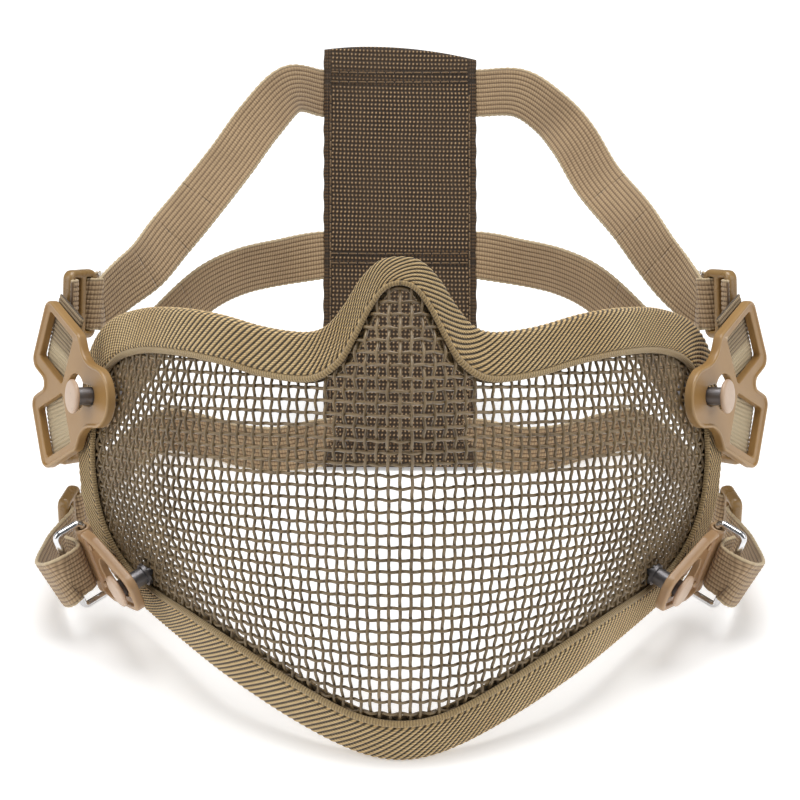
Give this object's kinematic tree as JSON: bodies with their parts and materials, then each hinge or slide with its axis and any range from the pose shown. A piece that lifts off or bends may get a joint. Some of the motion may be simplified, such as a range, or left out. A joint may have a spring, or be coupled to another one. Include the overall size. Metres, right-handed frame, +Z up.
{
  "type": "wire mesh face mask",
  "caption": "Lower-face guard of woven wire with a taped rim, side buckles on studs, and an elastic harness joined by a back panel.",
  "frame": {"origin": "on the floor under the middle of the whole object's box, as it stands on its chin", "axes": "+X to the right as seen from the front, +Y from the face side back to the rear panel, +Z up"},
  "size_m": [0.2152, 0.2296, 0.126],
  "materials": {
    "mesh": "satin paint over woven steel wire",
    "binding": "twill tape with diagonal ribs",
    "rivet": "worn grey metal",
    "cap": "painted stud cap, satin",
    "moulded": "moulded plastic, slight sheen",
    "tab": "moulded plastic, slight sheen",
    "slider": "moulded plastic, glossy",
    "chrome": "bright plated wire",
    "elastic": "knitted ribbed elastic",
    "webbing": "coarse nylon webbing"
  },
  "bodies": {
    "mask": {"wire_mesh": "mesh", "rim_binding": "binding", "left_upper_rivet": "rivet", "right_upper_rivet": "rivet", "left_lower_rivet": "rivet", "right_lower_rivet": "rivet"},
    "harness": {"back_panel_outer": "webbing", "back_panel_inner": "webbing", "left_top_strap": "elastic", "left_middle_strap": "elastic", "left_lower_strap": "elastic", "right_top_strap": "elastic", "right_middle_strap": "elastic", "right_lower_strap": "elastic"},
    "left_upper_stud": {"left_upper_post": "rivet", "left_upper_cap": "cap"},
    "left_buckle": {"left_fan_buckle": "moulded", "left_buckle_band": "elastic"},
    "left_top_slider": {"left_top_slider": "slider"},
    "left_middle_slider": {"left_middle_slider": "slider"},
    "left_lower_stud": {"left_lower_post": "rivet", "left_lower_cap": "cap"},
    "left_tab": {"left_lower_tab": "tab"},
    "left_ring": {"left_ring": "chrome"},
    "left_lower_slider": {"left_lower_slider": "slider"},
    "right_upper_stud": {"right_upper_post": "rivet", "right_upper_cap": "cap"},
    "right_buckle": {"right_fan_buckle": "moulded", "right_buckle_band": "elastic"},
    "right_top_slider": {"right_top_slider": "slider"},
    "right_middle_slider": {"right_middle_slider": "slider"},
    "right_lower_stud": {"right_lower_post": "rivet", "right_lower_cap": "cap"},
    "right_tab": {"right_lower_tab": "tab"},
    "right_ring": {"right_ring": "chrome"},
    "right_lower_slider": {"right_lower_slider": "slider"}
  },
  "joints": [
    {"name": "left_buckle_swivel", "type": "hinge", "parent": "mask", "child": "left_upper_stud", "pos_m": [-0.081, -0.02648, 0.06313], "axis": [-0.891, -0.4115, 0.1919], "range_deg": [-10, 10], "deforming": ["left_top_strap", "left_middle_strap", "left_buckle_band"]},
    {"name": "left_buckle_release", "type": "slide", "parent": "left_upper_stud", "child": "left_buckle", "axis": [0.5575, -0.7849, 0.2705], "range_m": [0, 0.0084], "deforming": ["left_top_strap", "left_middle_strap", "left_buckle_band"]},
    {"name": "left_top_slider_slide", "type": "slide", "parent": "left_buckle", "child": "left_top_slider", "axis": [0.5455, 0.777, -0.3142], "range_m": [0, 0.006], "deforming": ["left_top_strap", "left_buckle_band"]},
    {"name": "left_middle_slider_slide", "type": "slide", "parent": "left_buckle", "child": "left_middle_slider", "axis": [0.5455, 0.777, -0.3142], "range_m": [0, 0.006], "deforming": ["left_middle_strap", "left_buckle_band"]},
    {"name": "left_tab_swivel", "type": "hinge", "parent": "mask", "child": "left_lower_stud", "pos_m": [-0.0685, -0.05954, 0.02614], "axis": [-0.8066, -0.5239, -0.2737], "range_deg": [-15, 15], "deforming": ["left_lower_strap"]},
    {"name": "left_tab_release", "type": "slide", "parent": "left_lower_stud", "child": "left_tab", "axis": [0.5289, -0.8465, 0.0615], "range_m": [0, 0.0084], "deforming": ["left_lower_strap"]},
    {"name": "left_ring_swing", "type": "hinge", "parent": "left_tab", "child": "left_ring", "pos_m": [-0.08545, -0.04675, 0.02274], "axis": [-0.2639, -0.0952, 0.9598], "range_deg": [-70, 50], "deforming": ["left_lower_strap"]},
    {"name": "left_lower_slider_slide", "type": "slide", "parent": "mask", "child": "left_lower_slider", "axis": [0.2079, 0.9781, 0], "range_m": [0, 0.008], "deforming": ["left_lower_strap"]},
    {"name": "right_buckle_swivel", "type": "hinge", "parent": "mask", "child": "right_upper_stud", "pos_m": [0.081, -0.02648, 0.06313], "axis": [0.891, -0.4115, 0.1919], "range_deg": [-10, 10], "deforming": ["right_top_strap", "right_middle_strap", "right_buckle_band"]},
    {"name": "right_buckle_release", "type": "slide", "parent": "right_upper_stud", "child": "right_buckle", "axis": [-0.5575, -0.7849, 0.2705], "range_m": [0, 0.0084], "deforming": ["right_top_strap", "right_middle_strap", "right_buckle_band"]},
    {"name": "right_top_slider_slide", "type": "slide", "parent": "right_buckle", "child": "right_top_slider", "axis": [-0.5455, 0.777, -0.3142], "range_m": [0, 0.006], "deforming": ["right_top_strap", "right_buckle_band"]},
    {"name": "right_middle_slider_slide", "type": "slide", "parent": "right_buckle", "child": "right_middle_slider", "axis": [-0.5455, 0.777, -0.3142], "range_m": [0, 0.006], "deforming": ["right_middle_strap", "right_buckle_band"]},
    {"name": "right_tab_swivel", "type": "hinge", "parent": "mask", "child": "right_lower_stud", "pos_m": [0.0685, -0.05954, 0.02614], "axis": [0.8066, -0.5239, -0.2737], "range_deg": [-15, 15], "deforming": ["right_lower_strap"]},
    {"name": "right_tab_release", "type": "slide", "parent": "right_lower_stud", "child": "right_tab", "axis": [-0.5289, -0.8465, 0.0615], "range_m": [0, 0.0084], "deforming": ["right_lower_strap"]},
    {"name": "right_ring_swing", "type": "hinge", "parent": "right_tab", "child": "right_ring", "pos_m": [0.08545, -0.04675, 0.02274], "axis": [0.2639, -0.0952, 0.9598], "range_deg": [-50, 70], "deforming": ["right_lower_strap"]},
    {"name": "right_lower_slider_slide", "type": "slide", "parent": "mask", "child": "right_lower_slider", "axis": [-0.2079, 0.9781, 0], "range_m": [0, 0.008], "deforming": ["right_lower_strap"]},
    {"name": "harness_stretch", "type": "slide", "parent": "mask", "child": "harness", "axis": [0, 1, 0], "range_m": [0, 0.05], "stiffness_N_per_m": 60, "deforming": ["left_top_strap", "left_middle_strap", "left_lower_strap", "right_top_strap", "right_middle_strap", "right_lower_strap", "left_buckle_band", "right_buckle_band"]}
  ]
}
